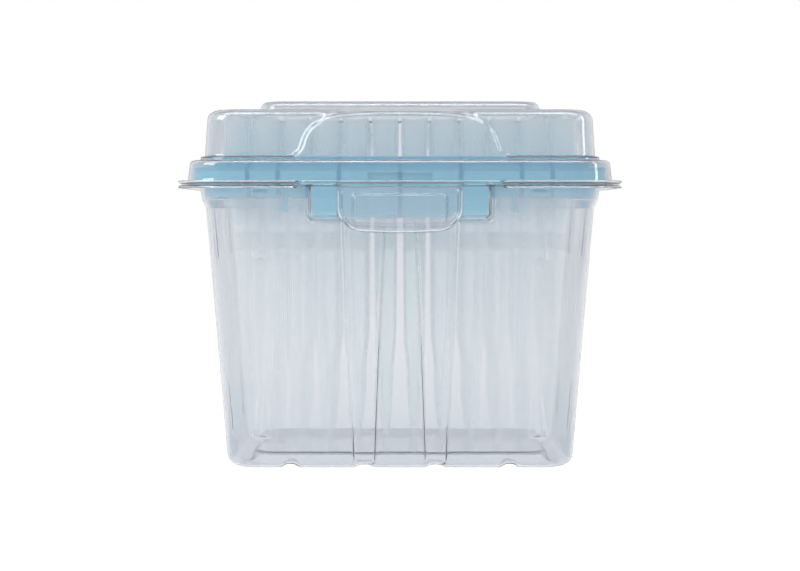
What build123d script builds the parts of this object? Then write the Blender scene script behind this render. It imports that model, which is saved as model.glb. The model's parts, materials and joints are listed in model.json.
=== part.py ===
from build123d import *
from math import atan, degrees
import os

# Box of pipette tips: a clear thin-walled tub with a hinged clear lid, a moulded tray that
# stands on the tub's flange, and eight rows of twelve filter tips hanging in the tray.
# Frame in mm: +Z up, +X to the right, the latch at -Y, the hinge at +Y, and the origin at the
# bottom, under the middle of the whole box. Widths and depths are given from the middle out.

# Tips
PITCH = 9.0
COLUMNS = 12
ROWS = 8
COLLAR_HEIGHT = 7.2
HUB_HEIGHT = 4.8
TIP_REACH = 89.8  # from the seat on the deck down to the tip's end
COLLAR_RADIUS = 4.0
HUB_RADIUS = 3.65
FIN_COUNT = 8
FIN_WIDTH = 0.5
FIN_INSET = 0.1  # the fins stand this far inside the collar
SEAT_RING_HEIGHT = 0.5
NECK_RADIUS = 3.6
WAIST_RADIUS = 3.2
WAIST_SHARE = 0.366  # heights along the tip, as shares of its reach
CONE_RADIUS = 2.15
CONE_SHARE = 0.26
NOSE_RADIUS = 1.85
NOSE_SHARE = 0.126
END_RADIUS = 0.75
TIP_WALL = 0.5
END_BORE_RADIUS = 0.35
SOCKET_RADIUS = 3.15
SOCKET_LENGTH = 9.0
SOCKET_CHAMFER = 0.35

# Filters inside the tips
FILTER_TOP_SHARE = 0.742
FILTER_LENGTH = 5.3
FILTER_CLEARANCE = 0.03

# Tray
DECK_MARGIN = 7.5  # from the outer tips' axes to the raised deck's edge
DECK_RISE = 3.3  # raised deck above the rim
DECK_THICKNESS = 1.3
DECK_CORNER = 6.0
RIM_SHELF = 5.3  # from the raised deck's edge to the rim's outer face
RIM_HEIGHT = 5.15
TRAY_WALL = 1.2
SKIRT_INSET = 3.0
SKIRT_DEPTH = 3.6  # below the parting plane
HOLE_CLEARANCE = 0.12
DECK_RIB_WIDTH = 0.8
DECK_RIB_DEPTH = 5.0
RIM_RIB_WIDTH = 1.4
RIM_RIB_STEPS = (0.0, 2.0, 4.0, 5.0)  # places along the front and back, in pitches
WINDOW_HALF = 9.6
WINDOW_HEIGHT = 3.6
WINDOW_TAB_WIDTH = 1.4
WINDOW_TAB_HEIGHT = 2.6
TONGUE_HALF = 26.4
TONGUE_DEPTH = 9.3
TONGUE_CORNER = 2.0
TONGUE_ROOT = 1.0  # its height inside the rim's wall, above the parting plane
LEG_PLACE = 34.2
LEG_WIDTH = 2.0
LEG_DEPTH = 8.0
LEG_THICKNESS = 1.0
LEG_GAP = 0.4  # between the leg and the skirt's inner face
LEG_PAD_HEIGHT = 1.5  # above the parting plane

# Clear sheet of the tub and the lid
WALL = 0.6
CUT_PAST = 1.0  # how far a cutting form runs past the face that it opens
PARTING_GAP = 0.2  # between the closed flanges
FLANGE_LIP_WIDTH = 1.5
FLANGE_LIP_HEIGHT = 0.5
FLANGE_CORNER = 14.0
FLANGE_WIDTH = 2.75  # beyond the foot of the lid's band

# Tub
TUB_BAND_CLEARANCE = 0.8  # around the tray's skirt
TUB_BAND_TAPER = 0.65
TUB_STEP_TOP = 4.45  # below the parting plane
TUB_STEP_HEIGHT = 2.4
TUB_STEP_IN = 1.2
TUB_DRAFT = 0.0797  # run per unit of height
TUB_FOOT_CORNER = 5.0
TUB_FOOT_RADIUS = 4.4
FLOOR_CLEARANCE = 0.5  # under the tips
RECESS_CLEARANCE = 1.2  # around the plateau of a box stacked below
RECESS_LIFT = 0.3
RECESS_TAPER = 0.8
RECESS_CORNER = 6.0
FLUTE_PLACE = 10.8
FLUTE_TOP_HALF = 7.1
FLUTE_FOOT_HALF = 3.8
FLUTE_PROUD = 1.1
LUG_RADIUS = 3.0
LUG_HEIGHT = 16.4
LUG_FRONT_PLACE = 41.5
LUG_SIDE_PLACE = 20.0
LUG_UPPER_TOP = 6.3  # below the parting plane
LUG_LOWER_TOP = 60.3
NOTCH_PLACES = ((10.9, 6.6, 1.2), (33.4, 5.2, 1.6))  # place, width and height of each notch
POCKET_HALF = 28.0
POCKET_DEPTH = 10.65  # below the parting plane
POCKET_CORNER = 2.7

# Lid
LID_RIM_CLEARANCE = 0.95  # around the tray's rim at the parting plane
LID_BAND_TAPER = 0.85
LID_BAND_HEIGHT = 7.15
LID_BAND_ROUND = 1.3
LID_SHOULDER_IN = 2.9
LID_SHOULDER_RISE = 1.2
LID_DOME_IN = 1.3
LID_DOME_TAPER = 1.0
LID_DOME_ROUND = 3.2
LID_BAND_CORNER = 11.5
LID_DOME_CORNER = 8.0
TIP_HEADROOM = 1.5
PLATEAU_MARGIN = 5.7  # inside the outer tips' axes
PLATEAU_RISE = 3.3
PLATEAU_TAPER = 1.5
PLATEAU_ROUND = 2.2
PLATEAU_CORNER = 7.0
ARCH_FOOT_HALF = 31.5
ARCH_SIDE_HALF = 28.2
ARCH_SHOULDER_HALF = 22.0
ARCH_SIDE_SHARE = 0.36  # heights on the arch, as shares of the dome's wall
ARCH_SHOULDER_SHARE = 0.74
ARCH_CROWN_RISE = 0.28  # above the dome's top
ARCH_FOOT_SLOPE = 0.6

# Latch tab on the lid's front
TAB_HALF = 18.7
TAB_DEPTH = 14.3  # below the parting plane, at the middle
TAB_CORNER = 7.5
TAB_CLEARANCE = 0.4  # in front of the pocket
BUTTON_HALF = 14.0
BUTTON_TOP = 2.6  # below the parting plane
BUTTON_HEIGHT = 9.0
BUTTON_TAPER = 0.5
BUTTON_CORNER = 1.2
BUTTON_PROUD = 0.5  # beyond the flange's front edge
POCKET_PROUD = 3.8  # beyond the tub's band
LATCH_ZONE_HALF = 30.0  # the flanges have no lips here

# Hinge at the back: a bead on the tub turns in a channel on the lid
HINGE_BEAD_RADIUS = 0.8
HINGE_CLEARANCE = 0.06
HINGE_HALF = 42.0
HINGE_END_GAP = 0.4

# Heights and half sizes that follow from the sizes above
grid_x = (COLUMNS - 1) * PITCH / 2
grid_y = (ROWS - 1) * PITCH / 2
grid_difference = grid_x - grid_y
recess_height = PLATEAU_RISE + RECESS_LIFT
tip_end_z = recess_height + WALL + FLOOR_CLEARANCE
deck_z = tip_end_z + TIP_REACH
tip_top_z = deck_z + HUB_HEIGHT + COLLAR_HEIGHT
rim_z = deck_z - DECK_RISE
parting_z = rim_z - RIM_HEIGHT
lid_base_z = parting_z + PARTING_GAP
dome_z = tip_top_z + TIP_HEADROOM + WALL
plateau_z = dome_z + PLATEAU_RISE
deck_x = grid_x + DECK_MARGIN
rim_x = deck_x + RIM_SHELF
skirt_x = rim_x - SKIRT_INSET
tub_top_x = skirt_x + TUB_BAND_CLEARANCE + WALL
tub_band_x = tub_top_x - TUB_BAND_TAPER
tub_wall_x = tub_band_x - TUB_STEP_IN
tub_step_z = parting_z - TUB_STEP_TOP
tub_wall_z = tub_step_z - TUB_STEP_HEIGHT
tub_foot_x = tub_wall_x - TUB_DRAFT * tub_wall_z
corner_x = tub_foot_x - TUB_FOOT_CORNER  # centre of the corners of the tub and the tray
band_x = rim_x + LID_RIM_CLEARANCE + WALL
shoulder_x = band_x - LID_SHOULDER_IN - LID_BAND_TAPER
shoulder_z = lid_base_z + LID_BAND_HEIGHT
dome_x = shoulder_x - LID_DOME_IN
dome_foot_z = shoulder_z + LID_SHOULDER_RISE
plateau_x = grid_x - PLATEAU_MARGIN
flange_x = band_x + FLANGE_WIDTH
flange_front_y = -(flange_x - grid_difference)
barrel_radius = HINGE_BEAD_RADIUS + HINGE_CLEARANCE + WALL
pocket_y = -(tub_top_x - grid_difference + POCKET_PROUD)
tab_y = pocket_y - TAB_CLEARANCE - WALL
button_y = flange_front_y - BUTTON_PROUD
hinge_y = -button_y - barrel_radius
hinge_z = parting_z + PARTING_GAP / 2


def rounded(half_x, corner, z):
    """A flat rounded rectangle; its depth follows the tip grid."""
    half_y = half_x - grid_difference
    return Pos(0, 0, z) * RectangleRounded(2 * half_x, 2 * half_y, corner)


def tapered(stations, corner):
    """A form with drafted walls through stations of (height, half width), from the bottom up.

    The corner radius is the first station's; the others share its centre.
    """
    form = None
    for (low_z, low_x), (high_z, high_x) in zip(stations, stations[1:]):
        face = rounded(low_x, corner + low_x - stations[0][1], low_z)
        draft = degrees(atan((low_x - high_x) / (high_z - low_z)))
        part = extrude(face, amount=high_z - low_z, taper=draft)
        form = part if form is None else form + part
    return form


def front_prism(outline):
    """Extrude an outline drawn as (x, z) points over the whole front half."""
    return extrude(make_face(Plane.XZ * outline), amount=flange_x)


def mirrored(shape):
    """The shape with its mirror image across the middle plane X = 0."""
    return shape + mirror(shape, about=Plane.YZ)


def top_edges(shape):
    return shape.edges().group_by(Axis.Z)[-1]


def bottom_edges(shape):
    return shape.edges().group_by(Axis.Z)[0]


def wall_half(z):
    """Half width of the tub's drafted wall at a height."""
    return tub_foot_x + TUB_DRAFT * z


# Tub


def tub_body(inset, growth=0.0):
    """Closed form of the tub without its features; growth moves its walls outward."""
    out = growth - inset
    stations = [
        (inset, wall_half(0) + out),
        (tub_wall_z, tub_wall_x + out),
        (tub_step_z, tub_band_x + out),
        (parting_z + (CUT_PAST if inset > 0 else 0.0), tub_top_x + out),
    ]
    body = tapered(stations, TUB_FOOT_CORNER + out)
    return fillet(bottom_edges(body), TUB_FOOT_RADIUS - inset)


def tub_flute(inset):
    """Outline of the right flute on the front wall, wider at the top."""
    foot_half = FLUTE_FOOT_HALF - inset
    top_half = FLUTE_TOP_HALF - inset
    top_z = parting_z - POCKET_DEPTH + POCKET_CORNER
    line = Polyline(
        (FLUTE_PLACE - foot_half, -CUT_PAST),
        (FLUTE_PLACE + foot_half, -CUT_PAST),
        (FLUTE_PLACE + top_half, top_z),
        (FLUTE_PLACE - top_half, top_z),
        close=True,
    )
    return front_prism(line)


def tub_lugs(inset):
    """Upright bosses that come out of the drafted walls and end in a flat ledge."""
    boss = None
    for top in (LUG_UPPER_TOP, LUG_LOWER_TOP):
        top_z = parting_z - top
        out_x = wall_half(top_z) - LUG_RADIUS
        out_y = out_x - grid_difference
        low_z = top_z - LUG_HEIGHT + inset
        height = LUG_HEIGHT - inset + CUT_PAST
        for x, y in (
            (LUG_FRONT_PLACE, -out_y),
            (LUG_FRONT_PLACE, out_y),
            (out_x, -LUG_SIDE_PLACE),
            (out_x, LUG_SIDE_PLACE),
        ):
            lug = Cylinder(LUG_RADIUS - inset, height, align=(Align.CENTER, Align.CENTER, Align.MIN))
            lug = Pos(x, y, low_z) * lug
            boss = lug if boss is None else boss + lug
    return mirrored(boss)


def tub_pocket(inset):
    """The pocket behind the latch tab, open at the top."""
    low_z = parting_z - POCKET_DEPTH + inset
    high_z = parting_z + (CUT_PAST if inset > 0 else 0.0)
    front_y = pocket_y + inset
    back_y = -(wall_half(low_z) - grid_difference) + 4 * WALL
    block = Box(2 * (POCKET_HALF - inset), back_y - front_y, high_z - low_z)
    block = Pos(0, (front_y + back_y) / 2, (low_z + high_z) / 2) * block
    corners = block.edges().filter_by(Axis.Y).group_by(Axis.Z)[0]
    return fillet(corners, POCKET_CORNER - inset)


def foot_notches(growth):
    """Shallow rounded channels across the foot, from front to back."""
    cut = None
    for place, width, height in NOTCH_PLACES:
        radius = (width * width / 4 + height * height) / (2 * height)
        channel = Rot(90, 0, 0) * Cylinder(radius + growth, 2 * flange_x)
        channel = Pos(place, 0, height - radius) * channel
        cut = channel if cut is None else cut + channel
    return mirrored(cut)


def floor_recess(growth):
    """The raised floor that takes the plateau of the box below."""
    top_x = plateau_x + RECESS_CLEARANCE + growth
    stations = [(-CUT_PAST, top_x + RECESS_TAPER), (recess_height + growth, top_x)]
    return tapered(stations, RECESS_CORNER + growth)


def tub_form(inset):
    body = tub_body(inset)
    body += tub_body(inset, FLUTE_PROUD) & mirrored(tub_flute(inset))
    body += tub_lugs(inset)
    body += tub_pocket(inset)
    body -= floor_recess(inset)
    return body - foot_notches(inset)


def flange_sheet(low_z, high_z, inset=0.0):
    """The flange's outline; its back edge lies on the hinge axis."""
    front = flange_front_y + inset
    back = hinge_y - inset
    half_x = flange_x - inset
    sheet = Pos(0, (front + back) / 2, low_z) * RectangleRounded(
        2 * half_x, back - front, FLANGE_CORNER - inset
    )
    return extrude(sheet, amount=high_z - low_z)


def flange_lip(low_z, high_z):
    """Turned edge of a flange, left out at the latch and the hinge."""
    lip = flange_sheet(low_z, high_z)
    lip -= flange_sheet(low_z - CUT_PAST, high_z + CUT_PAST, FLANGE_LIP_WIDTH)
    middle_z = (low_z + high_z) / 2
    height = 2 * (high_z - low_z)
    depth = 4 * FLANGE_LIP_WIDTH
    hinge_length = 2 * (HINGE_HALF + HINGE_END_GAP)
    lip -= Pos(0, flange_front_y, middle_z) * Box(2 * LATCH_ZONE_HALF, depth, height)
    return lip - Pos(0, hinge_y, middle_z) * Box(hinge_length, depth, height)


def make_tub():
    shell = tub_form(0)
    shell += flange_sheet(parting_z - WALL, parting_z)
    shell += flange_lip(parting_z - WALL - FLANGE_LIP_HEIGHT, parting_z - WALL)
    shell -= tub_form(WALL)
    # room for the latch tab in the front of the flange
    notch_width = 2 * (TAB_HALF + TAB_CLEARANCE)
    notch_align = (Align.CENTER, Align.MAX, Align.CENTER)
    notch = Box(notch_width, 2 * FLANGE_WIDTH, 4 * WALL, align=notch_align)
    shell -= Pos(0, pocket_y, parting_z) * notch
    bead = Rot(0, 90, 0) * Cylinder(HINGE_BEAD_RADIUS, 2 * HINGE_HALF)
    return shell + Pos(0, hinge_y, hinge_z) * bead


# Lid


def dome_form(inset, growth=0.0):
    """The dome over the tips; growth moves its walls outward but not its top."""
    out = growth - inset
    stations = [(shoulder_z - 2 * WALL, dome_x + out), (dome_z - inset, dome_x + out - LID_DOME_TAPER)]
    return fillet(top_edges(tapered(stations, LID_DOME_CORNER + out)), LID_DOME_ROUND - inset)


def arch_prism(inset):
    """Outline of the raised arch on the dome's front: a flared foot and a round crown."""
    foot = ARCH_FOOT_HALF - inset
    side = ARCH_SIDE_HALF - inset
    shoulder = ARCH_SHOULDER_HALF - inset
    rise = dome_z - dome_foot_z
    low_z = shoulder_z - 2 * WALL
    side_z = dome_foot_z + ARCH_SIDE_SHARE * rise
    shoulder_top = dome_foot_z + ARCH_SHOULDER_SHARE * rise - inset
    crown_z = dome_z + ARCH_CROWN_RISE - inset
    curve = Spline(
        (foot, dome_foot_z),
        (side, side_z),
        (shoulder, shoulder_top),
        (0, crown_z),
        (-shoulder, shoulder_top),
        (-side, side_z),
        (-foot, dome_foot_z),
        tangents=[(-1, ARCH_FOOT_SLOPE), (-1, -ARCH_FOOT_SLOPE)],
    )
    base = Polyline((-foot, dome_foot_z), (-foot, low_z), (foot, low_z), (foot, dome_foot_z))
    return front_prism(curve + base)


def lid_form(inset):
    """Closed form of the lid, shrunk by the inset and open below the parting plane."""
    low_z = lid_base_z - (CUT_PAST if inset > 0 else 0.0)
    foot_x = band_x - inset
    stations = [(low_z, foot_x), (shoulder_z - inset, foot_x - LID_BAND_TAPER)]
    band = tapered(stations, LID_BAND_CORNER - inset)
    band = fillet(top_edges(band), LID_BAND_ROUND - inset)
    stations = [(low_z, shoulder_x - inset), (dome_foot_z - inset, shoulder_x - inset)]
    step = tapered(stations, LID_DOME_CORNER + LID_DOME_IN - inset)
    step = fillet(top_edges(step), (LID_DOME_IN - inset) / 2)
    stations = [
        (dome_z - LID_DOME_ROUND, plateau_x - inset),
        (plateau_z - inset, plateau_x - inset - PLATEAU_TAPER),
    ]
    plateau = tapered(stations, PLATEAU_CORNER - inset)
    plateau = fillet(top_edges(plateau), PLATEAU_ROUND - inset)
    arch = dome_form(inset, LID_DOME_IN) & arch_prism(inset)
    return band + step + dome_form(inset) + plateau + arch


def latch_outline(half, low_z, high_z, corner):
    """A tab outline with round lower corners, drawn in the XZ plane."""
    height = high_z - low_z
    face = Pos(0, (low_z + high_z) / 2) * Rectangle(2 * half, height)
    low = face.vertices().group_by(Axis.Y)[0]
    return fillet(low, corner)


def upright(y, z=0.0):
    """A plane that faces the front, with X to the right and Z up."""
    return Plane((0, y, z), x_dir=(1, 0, 0), z_dir=(0, -1, 0))


def latch_plate(outline, front, back):
    """A flat upright plate of an outline, between two depths."""
    return extrude(upright(back) * outline, amount=back - front)


def button_form(inset):
    """The embossed button on the latch tab, drafted towards its face."""
    half = BUTTON_HALF - inset
    height = BUTTON_HEIGHT - 2 * inset
    middle_z = parting_z - BUTTON_TOP - BUTTON_HEIGHT / 2
    face_y = button_y + inset
    foot_y = tab_y + WALL + (CUT_PAST if inset > 0 else 0.0)
    corner = BUTTON_CORNER - inset
    foot = upright(foot_y, middle_z) * RectangleRounded(2 * half, height, corner)
    taper = 2 * BUTTON_TAPER
    face = upright(face_y, middle_z) * RectangleRounded(2 * half - taper, height - taper, corner)
    return loft([foot, face], ruled=True)


def make_lid():
    shell = lid_form(0)
    shell += flange_sheet(lid_base_z, lid_base_z + WALL)
    shell += flange_lip(lid_base_z + WALL, lid_base_z + WALL + FLANGE_LIP_HEIGHT)
    shell -= lid_form(WALL)
    outline = latch_outline(TAB_HALF, parting_z - TAB_DEPTH, lid_base_z + WALL, TAB_CORNER)
    shell += latch_plate(outline, tab_y, tab_y + WALL)
    shell += button_form(0)
    shell -= button_form(WALL)
    # channel of the hinge, open below and wrapped over the tub's bead
    channel = Rot(0, 90, 0) * Cylinder(barrel_radius, 2 * HINGE_HALF)
    below_align = (Align.CENTER, Align.CENTER, Align.MAX)
    below_length = 2 * (HINGE_HALF + CUT_PAST)
    below = Box(below_length, 4 * barrel_radius, 2 * barrel_radius, align=below_align)
    shell += Pos(0, hinge_y, hinge_z) * (channel - below)
    bore_length = 2 * (HINGE_HALF + HINGE_END_GAP)
    bore = Rot(0, 90, 0) * Cylinder(HINGE_BEAD_RADIUS + HINGE_CLEARANCE, bore_length)
    return shell - Pos(0, hinge_y, hinge_z) * bore


# Tray


def ring(half_x, corner, width, low_z, high_z):
    """A wall that follows a rounded rectangle."""
    outer = extrude(rounded(half_x, corner, low_z), amount=high_z - low_z)
    inner = rounded(half_x - width, corner - width, low_z - CUT_PAST)
    return outer - extrude(inner, amount=high_z - low_z + 2 * CUT_PAST)


def tip_places():
    """(column, row) places of the tips, column by column from the left."""
    return [
        [(c * PITCH - grid_x, r * PITCH - grid_y) for r in range(ROWS)] for c in range(COLUMNS)
    ]


def make_tray():
    rim_corner = rim_x - corner_x
    skirt_corner = skirt_x - corner_x
    skirt_z = parting_z - SKIRT_DEPTH
    tray = extrude(rounded(rim_x, rim_corner, rim_z - TRAY_WALL), amount=TRAY_WALL)
    tray += extrude(rounded(deck_x, DECK_CORNER, rim_z - TRAY_WALL), amount=DECK_RISE + TRAY_WALL)
    hollow_top = deck_z - DECK_THICKNESS
    hollow = rounded(deck_x - TRAY_WALL, DECK_CORNER - TRAY_WALL, rim_z - 2 * TRAY_WALL)
    tray -= extrude(hollow, amount=hollow_top - rim_z + 2 * TRAY_WALL)
    tray += ring(rim_x, rim_corner, TRAY_WALL, parting_z, rim_z - TRAY_WALL / 2)
    tray += ring(skirt_x, skirt_corner, TRAY_WALL, skirt_z, rim_z - TRAY_WALL / 2)
    # stiffening ribs under the deck, between the tips
    rib_low = hollow_top - DECK_RIB_DEPTH
    rib_height = DECK_RIB_DEPTH + DECK_THICKNESS / 2
    depth_y = deck_x - grid_difference
    base = (Align.CENTER, Align.CENTER, Align.MIN)
    for step in range(2 - COLUMNS // 2, COLUMNS // 2, 2):
        rib = Box(DECK_RIB_WIDTH, 2 * depth_y - TRAY_WALL, rib_height, align=base)
        tray += Pos(step * PITCH, 0, rib_low) * rib
    for step in range(2 - ROWS // 2, ROWS // 2, 2):
        rib = Box(2 * deck_x - TRAY_WALL, DECK_RIB_WIDTH, rib_height, align=base)
        tray += Pos(0, step * PITCH, rib_low) * rib
    # ribs between the rim's outer wall and the skirt
    rim_y = rim_x - grid_difference
    rib_depth = SKIRT_INSET - TRAY_WALL / 2
    for side in (-1, 1):
        for step in RIM_RIB_STEPS:
            for hand in (-1, 1):
                rib = Box(RIM_RIB_WIDTH, rib_depth, RIM_HEIGHT - TRAY_WALL / 2, align=base)
                middle_y = side * (rim_y - TRAY_WALL / 2 - rib_depth / 2)
                tray += Pos(hand * step * PITCH, middle_y, parting_z) * rib
        # grip window in the rim's outer wall, with a short tab at each end
        window_height = WINDOW_HEIGHT + CUT_PAST
        window = Box(2 * WINDOW_HALF, TRAY_WALL + CUT_PAST, window_height, align=base)
        tray -= Pos(0, side * rim_y, parting_z - CUT_PAST) * window
        for hand in (-1, 1):
            tab = Box(WINDOW_TAB_WIDTH, rib_depth, WINDOW_TAB_HEIGHT, align=base)
            tab_x = hand * (WINDOW_HALF + WINDOW_TAB_WIDTH)
            tab_z = rim_z - TRAY_WALL - WINDOW_TAB_HEIGHT
            middle_y = side * (rim_y - TRAY_WALL / 2 - rib_depth / 2)
            tray += Pos(tab_x, middle_y, tab_z) * tab
        for hand in (-1, 1):
            # snap leg inside the skirt, on a pad that joins it to the skirt
            skirt_y = rim_y - SKIRT_INSET - TRAY_WALL
            leg = Box(LEG_WIDTH, LEG_THICKNESS, LEG_DEPTH + LEG_PAD_HEIGHT, align=base)
            leg_y = side * (skirt_y - LEG_GAP - LEG_THICKNESS / 2)
            tray += Pos(hand * LEG_PLACE, leg_y, parting_z - LEG_DEPTH) * leg
            pad = Box(LEG_WIDTH, LEG_THICKNESS, LEG_PAD_HEIGHT + SKIRT_DEPTH, align=base)
            tray += Pos(hand * LEG_PLACE, side * skirt_y, skirt_z) * pad
    # tongue that hangs from the front of the rim into the latch pocket
    tongue_top = parting_z + TONGUE_ROOT
    outline = latch_outline(TONGUE_HALF, parting_z - TONGUE_DEPTH, tongue_top, TONGUE_CORNER)
    tongue = latch_plate(outline, -rim_y, -rim_y + TRAY_WALL)
    window = Box(2 * WINDOW_HALF, 3 * TRAY_WALL, TONGUE_ROOT + CUT_PAST, align=base)
    tray += tongue - Pos(0, -rim_y, parting_z) * window
    hole_radius = NECK_RADIUS + HOLE_CLEARANCE
    holes = [
        Pos(x, y, deck_z - DECK_THICKNESS / 2) * Cylinder(hole_radius, 4 * DECK_THICKNESS)
        for column in tip_places()
        for x, y in column
    ]
    return tray - holes


# Tips


def tip_profile():
    """Heights above the tip's end and outer radii of its long cone, from the end up."""
    return [
        (0.0, END_RADIUS),
        (NOSE_SHARE * TIP_REACH, NOSE_RADIUS),
        (CONE_SHARE * TIP_REACH, CONE_RADIUS),
        (WAIST_SHARE * TIP_REACH, WAIST_RADIUS),
        (TIP_REACH, NECK_RADIUS),
    ]


def make_tip():
    """One tip with its end at the origin: collar, finned hub, and long hollow cone."""
    top = TIP_REACH + HUB_HEIGHT + COLLAR_HEIGHT
    hub_top = TIP_REACH + HUB_HEIGHT
    socket_low = top - SOCKET_LENGTH
    outer = [(radius, height) for height, radius in tip_profile()]
    outer += [
        (COLLAR_RADIUS - FIN_INSET, TIP_REACH),
        (COLLAR_RADIUS - FIN_INSET, TIP_REACH + SEAT_RING_HEIGHT),
        (HUB_RADIUS, TIP_REACH + SEAT_RING_HEIGHT),
        (HUB_RADIUS, hub_top),
        (COLLAR_RADIUS, hub_top),
        (COLLAR_RADIUS, top),
    ]
    inner = [
        (SOCKET_RADIUS + SOCKET_CHAMFER, top),
        (SOCKET_RADIUS, top - SOCKET_CHAMFER),
        (SOCKET_RADIUS, socket_low),
        (WAIST_RADIUS - TIP_WALL, WAIST_SHARE * TIP_REACH),
        (CONE_RADIUS - TIP_WALL, CONE_SHARE * TIP_REACH),
        (NOSE_RADIUS - TIP_WALL, NOSE_SHARE * TIP_REACH),
        (END_BORE_RADIUS, 0.0),
    ]
    section = make_face(Plane.XZ * Polyline(*outer, *inner, close=True))
    tip = revolve(section, axis=Axis.Z)
    fin_depth = COLLAR_RADIUS - FIN_INSET - HUB_RADIUS + TIP_WALL / 4
    fin_radius = COLLAR_RADIUS - FIN_INSET - fin_depth / 2
    for i in range(FIN_COUNT):
        fin = Box(fin_depth, FIN_WIDTH, HUB_HEIGHT, align=(Align.CENTER, Align.CENTER, Align.MIN))
        tip += Rot(0, 0, 360 * i / FIN_COUNT) * Pos(fin_radius, 0, TIP_REACH) * fin
    return tip


def socket_bore(height):
    """Radius of the bore between the waist and the socket."""
    waist = WAIST_SHARE * TIP_REACH
    socket_low = TIP_REACH + HUB_HEIGHT + COLLAR_HEIGHT - SOCKET_LENGTH
    low_radius = WAIST_RADIUS - TIP_WALL
    return low_radius + (height - waist) / (socket_low - waist) * (SOCKET_RADIUS - low_radius)


def make_filter():
    """A porous plug that fills the tip's bore for a short length."""
    high = FILTER_TOP_SHARE * TIP_REACH
    low = high - FILTER_LENGTH
    plug = Cone(
        socket_bore(low) - FILTER_CLEARANCE,
        socket_bore(high) - FILTER_CLEARANCE,
        FILTER_LENGTH,
        align=(Align.CENTER, Align.CENTER, Align.MIN),
    )
    return Pos(0, 0, low) * plug


def column_of(piece, places):
    """Copies of a tip or filter at the places of one column."""
    return Compound(children=[Pos(x, y, tip_end_z) * piece for x, y in places])


def main():
    os.makedirs("parts", exist_ok=True)
    export_step(make_tub(), "parts/base_tub.step")
    export_step(make_lid(), "parts/lid.step")
    export_step(make_tray(), "parts/tip_tray.step")
    tip = make_tip()
    filter_plug = make_filter()
    for number, places in enumerate(tip_places(), start=1):
        export_step(column_of(tip, places), f"parts/tips_column_{number:02d}.step")
        export_step(column_of(filter_plug, places), f"parts/filters_column_{number:02d}.step")


main()
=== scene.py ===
"""Looks of the box of pipette tips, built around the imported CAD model.

The tub and the lid are thermoformed from clear sheet: each is one surface swept round a
rounded rectangle, with its flutes, lugs, pocket and arch raised from it, and then given the
sheet's thickness. The tray, the tips and the filters are the CAD nodes with better materials.
Sizes in this file are in mm; they become metres where a mesh is made.
"""

import json
import math

import bpy
import numpy as np
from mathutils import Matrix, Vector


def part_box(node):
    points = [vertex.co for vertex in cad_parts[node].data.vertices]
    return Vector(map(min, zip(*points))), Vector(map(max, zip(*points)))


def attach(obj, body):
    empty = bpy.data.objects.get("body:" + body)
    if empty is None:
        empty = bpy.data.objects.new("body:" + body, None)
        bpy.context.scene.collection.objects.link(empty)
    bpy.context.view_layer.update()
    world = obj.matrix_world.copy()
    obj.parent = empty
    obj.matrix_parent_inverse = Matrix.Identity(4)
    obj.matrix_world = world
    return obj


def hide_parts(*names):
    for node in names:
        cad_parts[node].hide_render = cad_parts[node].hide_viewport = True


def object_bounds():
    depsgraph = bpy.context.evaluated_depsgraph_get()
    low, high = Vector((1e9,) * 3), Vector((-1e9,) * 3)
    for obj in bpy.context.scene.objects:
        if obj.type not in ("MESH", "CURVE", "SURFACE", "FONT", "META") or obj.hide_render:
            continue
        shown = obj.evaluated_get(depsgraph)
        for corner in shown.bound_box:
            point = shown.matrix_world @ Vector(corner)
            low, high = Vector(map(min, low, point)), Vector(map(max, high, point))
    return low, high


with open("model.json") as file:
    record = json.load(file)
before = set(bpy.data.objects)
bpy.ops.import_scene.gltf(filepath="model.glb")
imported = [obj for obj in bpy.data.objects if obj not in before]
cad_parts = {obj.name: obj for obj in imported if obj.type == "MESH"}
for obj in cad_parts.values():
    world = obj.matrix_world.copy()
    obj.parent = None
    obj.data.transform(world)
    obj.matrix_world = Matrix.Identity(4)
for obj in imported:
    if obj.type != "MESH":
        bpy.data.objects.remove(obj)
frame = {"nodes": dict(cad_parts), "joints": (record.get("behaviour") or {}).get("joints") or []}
cad_low, cad_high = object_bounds()

MM = 0.001


def box_mm(node):
    low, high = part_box(node)
    return np.array(low) / MM, np.array(high) / MM


# Places that the frame gives
HINGE_Y, HINGE_Z = (value / MM for value in frame["joints"][0]["pos_m"][1:])
tub_low, tub_high = box_mm("base_tub")
lid_low, lid_high = box_mm("lid")
tray_low, tray_high = box_mm("tip_tray")
FLANGE_X = tub_high[0]
FLANGE_FRONT = -tub_low[1]
NARROWER = FLANGE_X - FLANGE_FRONT  # every half depth is this much less than its half width
PLATEAU_Z = lid_high[2]
PARTING_GAP = 0.2
TUB_TOP = HINGE_Z - PARTING_GAP / 2
LID_FOOT = HINGE_Z + PARTING_GAP / 2

# Sheet
WALL = 0.6
LIP = 0.5
SKIN_SMOOTHING = 4  # rounds of averaging of the inner skin's directions
FLOOR_SHADE_TOP = 40.0  # painted shade: the sheet's colour is darkened below this height, for the floor's shade
FLANGE_CENTRE = FLANGE_X - 14.0  # x of the centre of the flange's corners
LATCH_ZONE = 30.0  # the flanges have no lips here

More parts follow.
